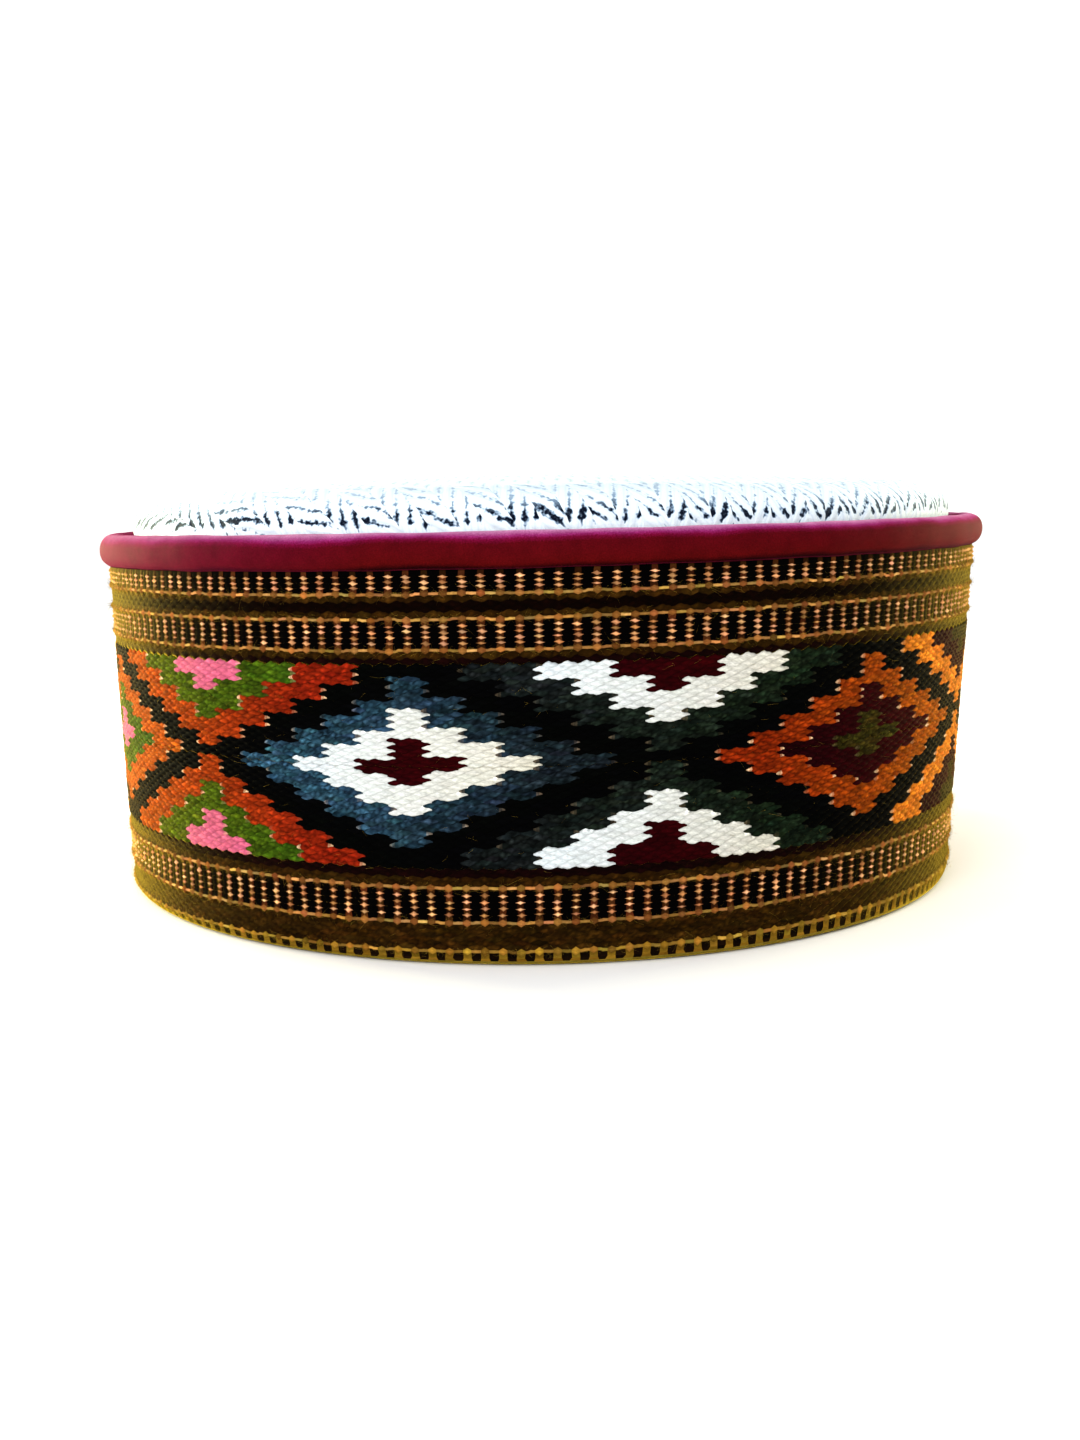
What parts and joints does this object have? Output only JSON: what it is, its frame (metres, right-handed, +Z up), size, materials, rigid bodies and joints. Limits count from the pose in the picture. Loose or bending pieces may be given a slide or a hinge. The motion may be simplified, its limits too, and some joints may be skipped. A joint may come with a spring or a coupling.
{
  "type": "himachali cap",
  "caption": "Round wool cap with a flat soft crown, a stiff patterned woven band round its side and a velvet roll along the band's upper edge; hollow and open below.",
  "frame": {"origin": "on the surface that the cap rests on, under the middle of its outline", "axes": "+Z up towards the crown, -Y towards the forehead side that the picture shows, +X to the right in the picture"},
  "size_m": [0.1944, 0.2098, 0.087],
  "materials": {
    "tweed": "pale grey herringbone wool tweed with dark blue-grey flecks, matte and slightly fuzzy",
    "woven_wool": "figured wool weave with stepped diamonds, ladder borders and fine gold lines, matte",
    "velvet": "dark crimson velvet with a soft sheen along its top"
  },
  "bodies": {
    "root": {"crown": "tweed", "woven_band": "woven_wool", "velvet_piping": "velvet"}
  },
  "joints": []
}
